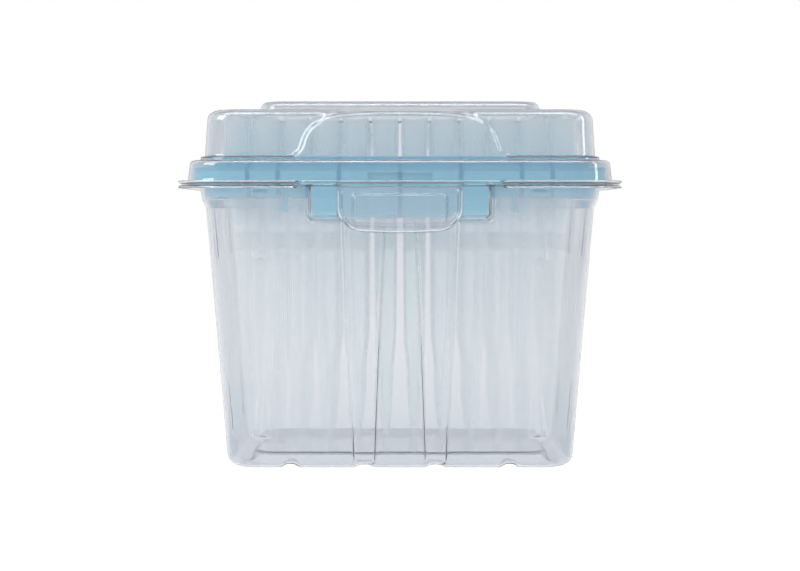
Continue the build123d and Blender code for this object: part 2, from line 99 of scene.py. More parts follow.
# Tub
TUB_CENTRE = 47.54
MOUTH_X = 60.62
BAND_X = 60.05
WALL_X = 58.85
BAND_Z = TUB_TOP - 4.45
WALL_Z = BAND_Z - 2.4
DRAFT = 0.0797
FOOT_X = WALL_X - DRAFT * WALL_Z
RECESS_Z = 3.6
POCKET_FACE = 46.5
POCKET_HALF = 28.0
POCKET_LOW = TUB_TOP - 10.65
POCKET_CORNER = 2.7
TAB_NOTCH = 19.1
LUG_RADIUS = 3.0
LUG_HEIGHT = 16.4
LUG_TOPS = TUB_TOP - 6.3, TUB_TOP - 60.3
LUG_FRONT_X = 41.5
LUG_SIDE_Y = 20.0
LUG_LEDGE = 1.2  # height of the ledge that ends a lug
DIMPLE_X, DIMPLE_Z = 41.5, TUB_TOP - 2.6
DIMPLE_HALF = (3.0, 1.1)  # half its width and half its height
DIMPLE_DEPTH = 0.45
FLUTE_X = 10.8
FLUTE_HALF = (3.8, 5.45, 7.1)  # at the foot, halfway and at the top
FLUTE_RISE = 1.1
FLUTE_FOOT = 0.8
FLUTE_CORNER = 2.4
FOOT_NOTCHES = ((10.9, 6.6, 1.2), (33.4, 5.2, 1.6))  # place, width and height

# Tray
RIM_Z = TUB_TOP + 5.15
TRAY_RIBS = (0.0, 18.0, 36.0, 45.0)  # the ribs behind its rim

# Lid
LID_BAND_X = 63.85
SHOULDER_X = 60.1
SHOULDER_Z = LID_FOOT + 7.15
DOME_X = 58.8
DOME_FOOT_Z = SHOULDER_Z + 1.2
DOME_Z = PLATEAU_Z - 3.3
PLATEAU_X = 43.8

# Latch tab
TAB_HALF = 18.7
TAB_CORNER = 7.5
TAB_FACE = 47.5
BUTTON_HALF = 14.0
BUTTON_CORNER = 1.3
BUTTON_LOW, BUTTON_HIGH = TUB_TOP - 11.6, TUB_TOP - 2.6

# Hinge
HINGE_HALF = 42.0
BEAD_RADIUS = 0.8
CHANNEL_INNER = 0.86
CHANNEL_OUTER = 1.46


def soft_step(value, low, high):
    t = np.clip((value - low) / (high - low), 0.0, 1.0)
    return t * t * (3.0 - 2.0 * t)


def spaced(stretches):
    """Places from the first stretch's start to the last one's, each stretch with its own step."""
    places = []
    for (start, step), (end, _) in zip(stretches, stretches[1:]):
        count = max(1, round((end - start) / step))
        places += list(np.linspace(start, end, count, endpoint=False))
    return np.array(places + [stretches[-1][0]])


def back_edge(y):
    """Draws the flange's back in to the hinge's axis."""
    start, reach = 44.0, FLANGE_FRONT - WALL
    return np.where(y > start, start + (y - start) * (HINGE_Y - start) / (reach - start), y)


def both_ways(half):
    return np.concatenate([-half[:0:-1], half])


def profile(points):
    """Stations (z, half width, corner centre) along a line whose corners are rounded.

    A point is (z, half width, corner centre, radius, step to the next point).
    """
    stations = []
    path = [np.array(p[:3], float) for p in points]
    cut = []
    for i, p in enumerate(points):
        if i in (0, len(points) - 1) or p[3] == 0:
            cut.append(0.0)
            continue
        a = path[i - 1][:2] - path[i][:2]
        b = path[i + 1][:2] - path[i][:2]
        cosine = a @ b / (np.linalg.norm(a) * np.linalg.norm(b))
        cut.append(p[3] / math.tan(math.acos(np.clip(cosine, -1, 1)) / 2))
    for i, p in enumerate(points):
        here = path[i]
        if cut[i]:
            back = path[i - 1] - here
            ahead = path[i + 1] - here
            start = here + back * (cut[i] / np.linalg.norm(back[:2]))
            end = here + ahead * (cut[i] / np.linalg.norm(ahead[:2]))
            bend = math.pi - 2 * math.atan2(p[3], cut[i])
            count = max(3, round(bend * 6 / math.pi) + round(p[3]))
            # the arc as a rational quadratic curve
            weight = math.cos(bend / 2)
            for t in np.linspace(0, 1, count + 1):
                share = (1 - t) ** 2, 2 * t * (1 - t) * weight, t * t
                stations.append(
                    (share[0] * start + share[1] * here + share[2] * end) / sum(share)
                )
        else:
            stations.append(here)
        if i + 1 < len(points):
            ahead = path[i + 1] - here
            length = np.linalg.norm(ahead[:2])
            first = cut[i] / length
            last = 1 - cut[i + 1] / length
            count = max(1, round((last - first) * length / p[4]))
            for t in np.linspace(first, last, count + 1)[1:-1]:
                stations.append(here + ahead * t)
    return np.array(stations)


class Lattice:
    """Columns round a rounded rectangle: front, right, back and left faces and four corners."""

    def __init__(self, front, back, side, keep_x, keep_y, corner_steps):
        self.faces = []
        self.keep = keep_x, keep_y
        turn = np.linspace(0, math.pi / 2, corner_steps + 1)[1:-1]
        for places, start in ((front, -90), (side, 0), (back, 90), (side, 180)):
            self.faces.append((places, turn + math.radians(start)))

    def ring(self, half, centre):
        """Points, outward normals, face numbers and places along the face, of one station."""
        radius = half - centre
        centre_y = centre - NARROWER
        out = []
        for face, (places, turn) in enumerate(self.faces):
            reach = centre if face % 2 == 0 else centre_y
            far = places[-1]
            keep = min(self.keep[face % 2], 0.9 * reach)
            stretch = keep + (np.abs(places) - keep) * (reach - keep) / (far - keep)
            s = np.where(np.abs(places) > keep, np.sign(places) * stretch, places)
            n = len(s)
            if face == 0:
                point, normal = (s, np.full(n, -(half - NARROWER))), (0, -1)
            elif face == 1:
                point, normal = (np.full(n, half), s), (1, 0)
            elif face == 2:
                point, normal = (-s, np.full(n, half - NARROWER)), (0, 1)
            else:
                point, normal = (np.full(n, -half), -s), (-1, 0)
            for i in range(n):
                along = s[i] if face < 2 else -s[i]
                out.append((point[0][i], point[1][i], normal[0], normal[1], face, along))
            sign_x = 1 if face in (0, 1) else -1
            sign_y = 1 if face in (1, 2) else -1
            for angle in turn:
                c, d = math.cos(angle), math.sin(angle)
                x = sign_x * centre + radius * c
                y = sign_y * centre_y + radius * d
                out.append((x, y, c, d, 4 + face, 0.0))
        return np.array(out)


def make_object(name, vertices, faces, material, body):
    mesh = bpy.data.meshes.new(name)
    mesh.from_pydata([tuple(v * MM) for v in np.asarray(vertices, float)], [], faces)
    mesh.validate()
    piece = bpy.data.objects.new(name, mesh)
    bpy.context.scene.collection.objects.link(piece)
    mesh.materials.append(material)
    mesh.polygons.foreach_set("use_smooth", [True] * len(mesh.polygons))
    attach(piece, body)
    return piece


def merged(vertices, faces, distance=0.002):
    """The same surface with its coincident points joined and its empty faces left out."""
    keys = {}
    index = []
    kept = []
    for v in np.asarray(vertices, float):
        key = tuple(np.round(v / distance).astype(int))
        if key not in keys:
            keys[key] = len(kept)
            kept.append(v)
        index.append(keys[key])
    clean = []
    for face in faces:
        ring = [index[i] for i in face]
        ring = [v for i, v in enumerate(ring) if v != ring[i - 1]]
        if len(ring) > 2 and len(set(ring)) == len(ring):
            clean.append(ring)
    return np.array(kept), clean


def swept(lattice, stations, shape, cap_scales):
    """Vertices and faces of a surface through the stations, closed over its last ring."""
    rows = []
    for z, half, centre in stations:
        ring = lattice.ring(half, centre)
        rows.append(shape(ring, z, half))
    last = rows[-1]
    for scale in cap_scales:
        rows.append(last * np.array([scale, scale, 1.0]))
    count = len(rows[0])
    vertices = np.concatenate(rows + [last.mean(axis=0, keepdims=True) * [0, 0, 1]])
    faces = []
    for r in range(len(rows) - 1):
        for i in range(count):
            j = (i + 1) % count
            faces.append((r * count + i, (r + 1) * count + i, (r + 1) * count + j, r * count + j))
    low = (len(rows) - 1) * count
    for i in range(count):
        faces.append((low + i, len(vertices) - 1, low + (i + 1) % count))
    return merged(vertices, faces)


def thickened(vertices, faces, low, high):
    """The surface and a second skin a wall's thickness behind it, joined round its open edges."""
    normals = np.zeros((len(faces), 3))
    for i, face in enumerate(faces):
        a, b = vertices[face[-2]] - vertices[face[0]], vertices[face[-1]] - vertices[face[1]]
        if len(face) == 3:
            a, b = vertices[face[1]] - vertices[face[0]], vertices[face[2]] - vertices[face[0]]
        normals[i] = np.cross(a, b)
    sizes = np.linalg.norm(normals, axis=1, keepdims=True)
    normals /= np.maximum(sizes, 1e-12)
    total = np.zeros_like(vertices)
    for face, normal, size in zip(faces, normals, sizes):
        total[list(face)] += normal * math.sqrt(size[0])
    total /= np.maximum(np.linalg.norm(total, axis=1, keepdims=True), 1e-12)
    # neighbours share their directions, so that the second skin doesn't fold at tight bends
    pairs = np.array([(a, b) for face in faces for a, b in zip(face, face[1:] + face[:1])])
    for _ in range(SKIN_SMOOTHING):
        spread = total.copy()
        np.add.at(spread, pairs[:, 0], total[pairs[:, 1]])
        np.add.at(spread, pairs[:, 1], total[pairs[:, 0]])
        total = spread / np.maximum(np.linalg.norm(spread, axis=1, keepdims=True), 1e-12)
    # at a bend the skin lies further off along the mean normal, so that the wall stays even
    share = np.zeros(len(vertices))
    count = np.zeros(len(vertices))
    for face, normal in zip(faces, normals):
        share[list(face)] += total[list(face)] @ normal
        count[list(face)] += 1
    reach = WALL / np.clip(share / np.maximum(count, 1), 0.72, 1.0)
    behind = np.clip(vertices - total * reach[:, None], low, high)
    n = len(vertices)
    skins = [tuple(face) for face in faces] + [tuple(n + i for i in face[::-1]) for face in faces]
    edges = {}
    for face in faces:
        for a, b in zip(face, tuple(face[1:]) + tuple(face[:1])):
            edges[(a, b)] = edges.get((b, a)) is None
            if (b, a) in edges:
                edges[(b, a)] = False
    rim = [(b, a, n + a, n + b) for (a, b), is_open in edges.items() if is_open]
    return np.concatenate([vertices, behind]), skins + rim


def rounded_box_distance(x, z, half_x, low, high, corner):
    """Distance inside a rounded rectangle (positive inside)."""
    middle = (low + high) / 2
    dx = np.abs(x) - (half_x - corner)
    dz = np.abs(z - middle) - ((high - low) / 2 - corner)
    outside = np.hypot(np.maximum(dx, 0), np.maximum(dz, 0))
    return corner - outside - np.minimum(np.maximum(dx, dz), 0)


# Tub


def tub_shape(ring, z, half):
    """Raises the pocket, flutes and lugs, and cuts the notches, on one station of the tub."""
    x, y, _, _, face, along = ring.T
    z = np.full(len(x), z)
    front = face == 0
    back = face == 2
    side = (face == 1) | (face == 3)
    out = np.where(front | back, np.abs(y), np.abs(x))
    a = np.abs(along)
    flange = z[0] > TUB_TOP - 1.3
    # flutes on the front, wider at the top, ending under the pocket
    if z[0] < WALL_Z:
        fade = 1 - soft_step(z[0], POCKET_LOW + 3, WALL_Z)
        half_low, half_mid, half_top = FLUTE_HALF
        flute_half = half_low + (half_top - half_low) * min(z[0] / (POCKET_LOW + 2.7), 1.0)
        # the columns follow the flutes' edges
        shift = (flute_half - half_mid) * fade
        knots = np.array([0, FLUTE_X - half_mid, FLUTE_X + half_mid, 22.0])
        placed = knots + np.array([0, -shift, shift, 0])
        a = np.where(front, np.interp(a, knots, placed) + np.maximum(a - 22.0, 0), a)
        x = np.where(front, np.sign(along) * a, x)
    if z[0] < POCKET_LOW + 3:
        off = np.abs(a - FLUTE_X)
        round_x = np.maximum(off - (flute_half - FLUTE_CORNER), 0)
        inside = FLUTE_CORNER - np.hypot(round_x, np.maximum(FLUTE_FOOT + FLUTE_CORNER - z, 0))
        inside = np.where(round_x > 0, inside, np.minimum(flute_half - off, z - FLUTE_FOOT))
        inner_width, outer_width = 1.0, 0.9 + 1.3 * soft_step(z[0], 4.0, 30.0)
        rise = FLUTE_RISE * soft_step(inside, 0.0, np.where(a < FLUTE_X, inner_width, outer_width))
        out = np.where(front, out + rise, out)
    # lugs that come out of the drafted wall and end in a ledge
    for top in LUG_TOPS:
        low = top - LUG_HEIGHT
        if low - 0.01 <= z[0] <= top + 1:
            axis = WALL_X - DRAFT * (WALL_Z - top) - LUG_RADIUS
            place = np.where(front | back, LUG_FRONT_X, LUG_SIDE_Y)
            reach = np.where(front | back, axis - NARROWER, axis)
            off = np.abs(a - place)
            lug = reach + np.sqrt(np.maximum(LUG_RADIUS ** 2 - off * off, 0.0))
            proud = np.maximum(lug - out, 0.0) * soft_step(z, low, low + LUG_LEDGE)
            out = np.where((front | back | side) & (off < LUG_RADIUS), out + proud, out)
    # snap dimples under the flange
    dimple = ((a - DIMPLE_X) / DIMPLE_HALF[0]) ** 2 + ((z - DIMPLE_Z) / DIMPLE_HALF[1]) ** 2
    out = np.where(front | back, out + DIMPLE_DEPTH * soft_step(1 - dimple, 0.0, 0.7), out)
    # pocket behind the latch tab
    inside = rounded_box_distance(x, z, POCKET_HALF, POCKET_LOW, TUB_TOP + 20, POCKET_CORNER)
    share = soft_step(inside, -0.3, 1.8)
    out = np.where(front & (out < POCKET_FACE), out + (POCKET_FACE - out) * share, out)
    if flange:
        notch = 1 - soft_step(a, TAB_NOTCH - 0.15, TAB_NOTCH + 0.15)
        limit = POCKET_FACE + (60.0 - POCKET_FACE) * (1 - notch)
        lipless = front * (1 - soft_step(a, LATCH_ZONE, LATCH_ZONE + 1.5))
        edge = half > FLANGE_X - WALL - 0.01
        out = np.where(front & edge, out + WALL * lipless, out)
        out = np.where(front, np.minimum(out, limit), out)
        z = np.maximum(z, (TUB_TOP - WALL) * lipless)
    # rounded channels across the foot
    for place, width, height in FOOT_NOTCHES:
        radius = (width * width / 4 + height * height) / (2 * height)
        off = np.minimum(np.abs(np.abs(x) - place), width / 2)
        arch = height - radius + np.sqrt(radius * radius - off * off)
        z = np.where(front | back, np.maximum(z, arch), z)
    px, py = x.copy(), y.copy()
    px = np.where(side, np.sign(x) * out, px)
    py = np.where(front | back, np.sign(y) * out, py)
    if flange:
        lipless = soft_step(py, HINGE_Y - 3.0, HINGE_Y - 1.2)
        z = np.where(py > 0, np.maximum(z, (TUB_TOP - WALL) * lipless), z)
        py = back_edge(py)
    return np.stack([px, py, z], axis=1)


def make_tub(material):
    half = [(0, 1.0), (4.9, 0.18), (6.4, 0.85), (15.0, 0.25), (16.6, 0.9), (18.7, 0.35)]
    half += [(19.5, 0.9), (26.2, 0.35), (30.3, 0.5), (32.3, 1.2), (38.2, 0.45)]
    front = both_ways(spaced(half + [(44.8, 1.4), (TUB_CENTRE, 1)]))
    back = both_ways(spaced([(0, 2.2), (38.2, 0.45), (44.8, 1.4), (TUB_CENTRE, 1)]))
    side = both_ways(spaced([(0, 2.4), (16.7, 0.45), (23.3, 2.0), (TUB_CENTRE - NARROWER, 1)]))
    lattice = Lattice(front, back, side, 45.0, 23.5, 16)
    recess_low_x = PLATEAU_X + 1.2 + 0.63
    upper_low, lower_low = (top - LUG_HEIGHT for top in LUG_TOPS)
    below = WALL_Z - 0.9

    def wall(z):
        return WALL_X - DRAFT * (WALL_Z - z)

    def wall_point(z, step):
        return (z, wall(z), TUB_CENTRE, 0, step)

    points = [
        (TUB_TOP - WALL - LIP, FLANGE_X - WALL, FLANGE_CENTRE, 0, 0.3),
        (TUB_TOP - WALL, FLANGE_X - WALL, FLANGE_CENTRE, 0.3, 0.8),
        (TUB_TOP - WALL, MOUTH_X, TUB_CENTRE, 0.5, 0.6),
        (BAND_Z, BAND_X, TUB_CENTRE, 0.7, 0.6),
        (WALL_Z, WALL_X, TUB_CENTRE, 0.8, 0.6),
        wall_point(below, 0.8),
        wall_point(upper_low + LUG_LEDGE, 0.3),
        wall_point(upper_low, 3.4),
        wall_point(LUG_TOPS[1] + 1.0, 1.0),
        wall_point(lower_low + LUG_LEDGE, 0.3),
        wall_point(lower_low, 1.2),
        (0, FOOT_X, TUB_CENTRE, 4.4, 0.5),
        (0, recess_low_x, PLATEAU_X - 4.8, 1.4, 0.8),
        (RECESS_Z, PLATEAU_X + 1.2, PLATEAU_X - 4.8, 0.7, 0.9),
        (RECESS_Z, PLATEAU_X - 1.0, PLATEAU_X - 6.8, 0, 1.0),
    ]
    vertices, faces = swept(lattice, profile(points), tub_shape, (0.8, 0.6, 0.4, 0.2))
    vertices, faces = thickened(vertices, faces, tub_low, tub_high)
    piece = make_object("tub_shell", vertices, faces, material, "base")
    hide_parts("base_tub")


# Lid

ARCH = ((33.0, 94.2), (31.2, 95.1), (29.5, 96.6), (28.4, 99.7), (27.3, 101.8), (25.1, 104.0))
ARCH += ((20.3, 106.4), (11.6, 108.0), (0.0, 108.5))


def arch_line():
    """The arch's outline as a smooth line of many points, from the right foot to the left."""
    knots = np.array(list(ARCH) + [(-x, z) for x, z in ARCH[-2::-1]])
    padded = np.concatenate([[2 * knots[0] - knots[1]], knots, [2 * knots[-1] - knots[-2]]])
    line = []
    for a, b, c, d in zip(padded, padded[1:], padded[2:], padded[3:]):
        for t in np.linspace(0, 1, 6, endpoint=False):
            line.append(
                0.5 * (2 * b + (c - a) * t + (2 * a - 5 * b + 4 * c - d) * t * t
                       + (3 * b - a - 3 * c + d) * t ** 3)
            )
    line.append(knots[-1])
    return np.array(line)


def arch_inside(x, z, line):
    """Distance inside the arch, positive below its line."""
    points = np.stack([x, z], axis=1)[:, None, :]
    a, b = line[:-1][None], line[1:][None]
    run = b - a
    t = np.clip(((points - a) * run).sum(-1) / (run * run).sum(-1), 0, 1)
    away = np.linalg.norm(points - a - run * t[..., None], axis=-1).min(axis=1)
    top = np.interp(np.abs(x), line[len(line) // 2:, 0] * -1, line[len(line) // 2:, 1])
    return np.where(z < top, away, -away)


def lid_shape(ring, z, half):
    """Raises the arch on one station of the lid, and leaves its flange plain at the latch."""
    x, y, _, _, face, along = ring.T
    z = np.full(len(x), z)
    front = face == 0
    a = np.abs(along)
    out = np.abs(y)
    raised = np.clip(SHOULDER_X - half, 0.0, SHOULDER_X - DOME_X)
    if raised > 0 and half > DOME_X - 7:
        inside = arch_inside(x, z, arch)
        out = np.where(front, out + raised * soft_step(inside, -1.1, 0.9), out)
    if z[0] < LID_FOOT + 1.3:
        lipless = front * (1 - soft_step(a, LATCH_ZONE - 1.0, LATCH_ZONE + 0.8))
        edge = half > FLANGE_X - WALL - 0.01
        out = np.where(front & edge, out + WALL * lipless, out)
        z = np.where(lipless > 0, np.minimum(z, LID_FOOT + WALL + LIP * (1 - lipless)), z)
    px, py = x.copy(), y.copy()
    py = np.where(front, -out, py)
    if z[0] < LID_FOOT + 1.3:
        lipless = soft_step(py, HINGE_Y - 3.0, HINGE_Y - 1.2)
        z = np.minimum(z, LID_FOOT + WALL + LIP * (1 - lipless))
        py = back_edge(py)
    return np.stack([px, py, z], axis=1)


def make_lid(material):
    half = [(0, 1.0), (10, 0.6), (33, 2.4), (50.8, 1)]
    front = both_ways(spaced(half))
    back = both_ways(spaced([(0, 3.0), (50.8, 1)]))
    side = both_ways(spaced([(0, 3.0), (50.8 - NARROWER, 1)]))
    lattice = Lattice(front, back, side, 33.5, 16.0, 18)
    band_centre = LID_BAND_X - 11.5
    dome_centre = DOME_X - 8.0
    plateau_centre = PLATEAU_X - 7.0
    points = [
        (LID_FOOT + WALL + LIP, FLANGE_X - WALL, FLANGE_CENTRE, 0, 0.3),
        (LID_FOOT + WALL, FLANGE_X - WALL, FLANGE_CENTRE, 0.3, 0.8),
        (LID_FOOT + WALL, LID_BAND_X - 0.05, band_centre, 0.5, 0.8),
        (SHOULDER_Z, LID_BAND_X - 0.85, band_centre, 1.3, 0.5),
        (SHOULDER_Z, SHOULDER_X, dome_centre, 0.35, 0.3),
        (DOME_FOOT_Z, SHOULDER_X, dome_centre, 0.6, 0.25),
        (DOME_FOOT_Z, DOME_X, dome_centre, 0.35, 0.6),
        (DOME_Z, DOME_X - 1.0, dome_centre, 3.2, 0.7),
        (DOME_Z, PLATEAU_X + 0.1, plateau_centre, 0.7, 0.5),
        (PLATEAU_Z, PLATEAU_X - 1.5, plateau_centre, 2.2, 0.5),
        (PLATEAU_Z, PLATEAU_X - 6.0, plateau_centre - 3, 0, 1),
    ]
    vertices, faces = swept(lattice, profile(points), lid_shape, (0.8, 0.6, 0.4, 0.2))
    vertices, faces = thickened(vertices, [face[::-1] for face in faces], lid_low, lid_high)
    piece = make_object("lid_shell", vertices, faces, material, "lid_body")
    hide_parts("lid")


def make_tab(material):
    """The latch tab: a formed plate with a rolled rim and a raised button."""
    low = lid_low[2]
    high = LID_FOOT + WALL - 0.05
    half, corner = TAB_HALF, TAB_CORNER
    rows = np.concatenate([
        low + corner * (1 - np.cos(np.linspace(0, math.pi / 2, 15))),
        np.linspace(low + corner, high, 22)[1:],
    ])
    columns = both_ways(spaced([(0, 1.4), (12.6, 0.3), (half, 1)])) / half
    vertices = []
    for z in rows:
        drop = max(0.0, low + corner - z)
        reach = half - corner + math.sqrt(max(corner * corner - drop * drop, 0.0))
        for u in columns:
            x = u * reach
            edge = rounded_box_distance(x, z, half, low, high + 20, corner)
            rim = 0.8 * soft_step(edge, 0.0, 0.5) * (1 - soft_step(edge, 1.2, 2.2))
            button = rounded_box_distance(
                x, z, BUTTON_HALF, BUTTON_LOW, BUTTON_HIGH, BUTTON_CORNER
            )
            raised = 1.6 * soft_step(button, -0.4, 0.6)
            rim *= 1 - soft_step(z, TUB_TOP - 2.4, TUB_TOP - 0.8)
            lift = 1.1 * (x / half) ** 2 * max(0.0, 1 - (z - low) / corner)
            vertices.append((x, -(TAB_FACE + max(rim, raised)), z + lift))
    count = len(columns)
    faces = [
        (r * count + i, r * count + i + 1, (r + 1) * count + i + 1, (r + 1) * count + i)
        for r in range(len(rows) - 1)
        for i in range(count - 1)
    ]
    vertices, faces = thickened(*merged(vertices, faces), lid_low, lid_high)
    piece = make_object("latch_tab", vertices, faces, material, "lid_body")
    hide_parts("lid")


def swept_bar(section, half_length, rounding):
    """Vertices and faces of a bar along X; its section shrinks over the rounding at each end."""
    section = np.array(section, float)
    middle = section.mean(axis=0)
    steps = [(-half_length, 1 - rounding), (-half_length + 0.15, 1.0)]
    steps += [(x, 1.0) for x in np.linspace(-half_length + 1, half_length - 1, 22)]
    steps += [(half_length - 0.15, 1.0), (half_length, 1 - rounding)]
    vertices = []
    for x, scale in steps:
        ring = middle + (section - middle) * scale
        vertices += [(x, y, z) for y, z in ring]
    n = len(section)
    faces = []
    for r in range(len(steps) - 1):
        for i in range(n):
            j = (i + 1) % n
            faces.append((r * n + i, r * n + j, (r + 1) * n + j, (r + 1) * n + i))
    faces.append(tuple(range(n))[::-1])
    faces.append(tuple((len(steps) - 1) * n + i for i in range(n)))
    return vertices, faces


def hinge_arc(radius, turns):
    return [(HINGE_Y + radius * math.cos(t), HINGE_Z + radius * math.sin(t)) for t in turns]


def make_hinge(material):
    """The tub's bead and the lid's channel that wraps over it."""
    section = hinge_arc(BEAD_RADIUS, np.linspace(0, 2 * math.pi, 29)[:-1])
    vertices, faces = swept_bar(section, HINGE_HALF, 0.2)
    bead = make_object("hinge_bead", vertices, faces, material, "base")
    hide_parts("base_tub")
    half_turn = np.linspace(0, math.pi, 17)
    section = hinge_arc(CHANNEL_OUTER, half_turn) + hinge_arc(CHANNEL_INNER, half_turn[::-1])
    vertices, faces = swept_bar(section, HINGE_HALF, 0.02)
    channel = make_object("hinge_channel", vertices, faces, material, "lid_body")
    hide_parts("lid")


# Materials


def new_material(name):
    material = bpy.data.materials.new(name)
    material.use_nodes = True
    nodes = material.node_tree.nodes
    return material, nodes, material.node_tree.links, nodes["Principled BSDF"]


def grey(value):
    return value, value, value, 1


def axis_of(nodes, links, output, letter):
    """One axis of a Texture Coordinate node's output, such as Object or Normal."""
    place = nodes.new("ShaderNodeTexCoord")
    split = nodes.new("ShaderNodeSeparateXYZ")
    links.new(place.outputs[output], split.inputs["Vector"])
    return split.outputs[letter]


def calculated(nodes, links, operation, *values):
    """The result of a math node, whose values are sockets or numbers."""
    node = nodes.new("ShaderNodeMath")
    node.operation = operation
    for socket, value in zip(node.inputs, values):
        if isinstance(value, float):
            socket.default_value = value
        else:
            links.new(value, socket)
    return node.outputs[0]


def mapped(nodes, links, source, start, end, to_start=0.0, to_end=1.0):
    """The source, with its stretch from start to end brought to another stretch."""
    node = nodes.new("ShaderNodeMapRange")
    node.inputs["From Min"].default_value = start
    node.inputs["From Max"].default_value = end
    node.inputs["To Min"].default_value = to_start
    node.inputs["To Max"].default_value = to_end
    links.new(source, node.inputs["Value"])
    return node.outputs["Result"]


def blended(nodes, links, kind, share, first, second):
    """A color socket blended with a plain color."""
    node = nodes.new("ShaderNodeMix")
    node.data_type = "RGBA"
    node.blend_type = kind
    node.inputs["B"].default_value = second
    links.new(share, node.inputs["Factor"])
    links.new(first, node.inputs["A"])
    return node.outputs["Result"]


def ramp(nodes, links, source, stops):
    """The color of the source on a ramp with two stops."""
    node = nodes.new("ShaderNodeValToRGB")
    for element, (position, color) in zip(node.color_ramp.elements, stops):
        element.position = position
        element.color = color
    links.new(source, node.inputs["Fac"])
    return node.outputs["Color"]


def facing(nodes, blend):
    weight = nodes.new("ShaderNodeLayerWeight")
    weight.inputs["Blend"].default_value = blend
    return weight.outputs["Facing"]


def grain(nodes, links, scale, detail):
    """Noise in the object's own coordinates."""
    place = nodes.new("ShaderNodeTexCoord")
    noise = nodes.new("ShaderNodeTexNoise")
    noise.inputs["Scale"].default_value = scale
    noise.inputs["Detail"].default_value = detail
    links.new(place.outputs["Object"], noise.inputs["Vector"])
    return noise.outputs["Fac"]


def noise_bump(nodes, links, shader, scale, strength, distance, detail=2.0):
    noise = grain(nodes, links, scale, detail)
    bump = nodes.new("ShaderNodeBump")
    bump.inputs["Strength"].default_value = strength
    bump.inputs["Distance"].default_value = distance
    links.new(noise, bump.inputs["Height"])
    links.new(bump.outputs["Normal"], shader.inputs["Normal"])
    return noise


def any_ray(nodes, links, *kinds):
    """1 for rays of any of the kinds."""
    path = nodes.new("ShaderNodeLightPath")
    result = path.outputs[kinds[0]]
    for kind in kinds[1:]:
        result = calculated(nodes, links, "MAXIMUM", result, path.outputs[kind])
    return result


def pass_light(nodes, links, shader, tint, *kinds):
    """Lets shadow rays, and rays of the kinds, through to what lies behind, with a tint."""
    clear = nodes.new("ShaderNodeBsdfTransparent")
    clear.inputs["Color"].default_value = tint
    mix = nodes.new("ShaderNodeMixShader")
    links.new(any_ray(nodes, links, "Is Shadow Ray", *kinds), mix.inputs["Fac"])
    links.new(shader.outputs["BSDF"], mix.inputs[1])
    links.new(clear.outputs["BSDF"], mix.inputs[2])
    links.new(mix.outputs["Shader"], nodes["Material Output"].inputs["Surface"])


def clear_sheet():
    """Clear PET: refracts, with faint waves from forming; lets light in to what it covers."""
    material, nodes, links, shader = new_material("clear_sheet")
    shader.inputs["Transmission Weight"].default_value = 0.95
    shader.inputs["IOR"].default_value = 1.57
    # darker where a wall is seen edge on; flat floors and tops stay clear
    seen_on_edge = facing(nodes, 0.3)
    flat = calculated(nodes, links, "POWER", axis_of(nodes, links, "Normal", "Z"), 4.0)
    upright = calculated(nodes, links, "SUBTRACT", 1.0, flat)
    edge = calculated(nodes, links, "MULTIPLY", seen_on_edge, upright)
    tint = ramp(nodes, links, edge,
                ((0.55, (0.855, 0.865, 0.89, 1)), (1.0, (0.22, 0.31, 0.40, 1))))
    # painted shade: the sheet's colour darkens towards the bottom, standing in for the floor's
    # shade
    height = axis_of(nodes, links, "Object", "Z")
    low = mapped(nodes, links, height, 0.0, FLOOR_SHADE_TOP * MM, 1.0, 0.0)
    painted_floor_shade = blended(nodes, links, "MULTIPLY", low, tint, (0.89, 0.905, 0.92, 1))
    links.new(painted_floor_shade, shader.inputs["Base Color"])
    waves = noise_bump(nodes, links, shader, 60.0, 0.12, 0.00015)
    rough = ramp(nodes, links, waves, ((0.3, grey(0.02)), (0.8, grey(0.07))))
    links.new(rough, shader.inputs["Roughness"])
    pass_light(nodes, links, shader, (0.965, 0.97, 0.975, 1), "Is Diffuse Ray")
    return material


def tip_plastic():
    """Natural polypropylene: milky and see-through, denser where it is seen edge on."""
    material, nodes, links, shader = new_material("tip_plastic")
    shader.inputs["IOR"].default_value = 1.49
    edge = facing(nodes, 0.4)
    tint = ramp(nodes, links, edge,
                ((0.5, (0.83, 0.865, 0.875, 1)), (1.0, (0.54, 0.62, 0.665, 1))))
    wall = ramp(nodes, links, edge, ((0.4, grey(0.022)), (1.0, grey(0.40))))
    # the wall thickens towards the collar, so it is less clear there; its colour is also darkened
    # there, painted shade under the tray
    height = axis_of(nodes, links, "Object", "Z")
    collar_thickness_and_shade = mapped(nodes, links, height, (tray_low[2] - 3.0) * MM, tray_high[2] * MM)
    alpha = calculated(nodes, links, "MULTIPLY_ADD", collar_thickness_and_shade, 0.14, wall)
    links.new(alpha, shader.inputs["Alpha"])
    # painted shade: the tips' colour darkens towards the tray above them
    shade = blended(nodes, links, "MULTIPLY", collar_thickness_and_shade, tint, (0.66, 0.75, 0.79, 1))
    links.new(shade, shader.inputs["Base Color"])
    # a moulded finish, in the roughness alone: a ray crosses some fifty of these surfaces
    finish = grain(nodes, links, 900.0, 0.0)
    rough = ramp(nodes, links, finish, ((0.3, grey(0.24)), (0.7, grey(0.36))))
    links.new(rough, shader.inputs["Roughness"])
    pass_light(nodes, links, shader, (0.985, 0.99, 0.992, 1))
    return material


def tray_ribs(nodes, links, side):
    """1 where a rib stands behind the tray's rim, with soft edges."""
    reach = 60.0
    ribs = nodes.new("ShaderNodeValToRGB")
    ribs.color_ramp.elements[0].color = grey(1)
    ribs.color_ramp.elements[1].position = 0.99
    ribs.color_ramp.elements[1].color = grey(0)
    for x in TRAY_RIBS:
        for edge, shade in ((-0.9, 0), (-0.5, 1), (0.5, 1), (0.9, 0)):
            if x + edge > 0:
                stop = ribs.color_ramp.elements.new((x + edge) / reach)
                stop.color = grey(shade)
    links.new(calculated(nodes, links, "DIVIDE", side, reach * MM), ribs.inputs["Fac"])
    return ribs.outputs["Color"]


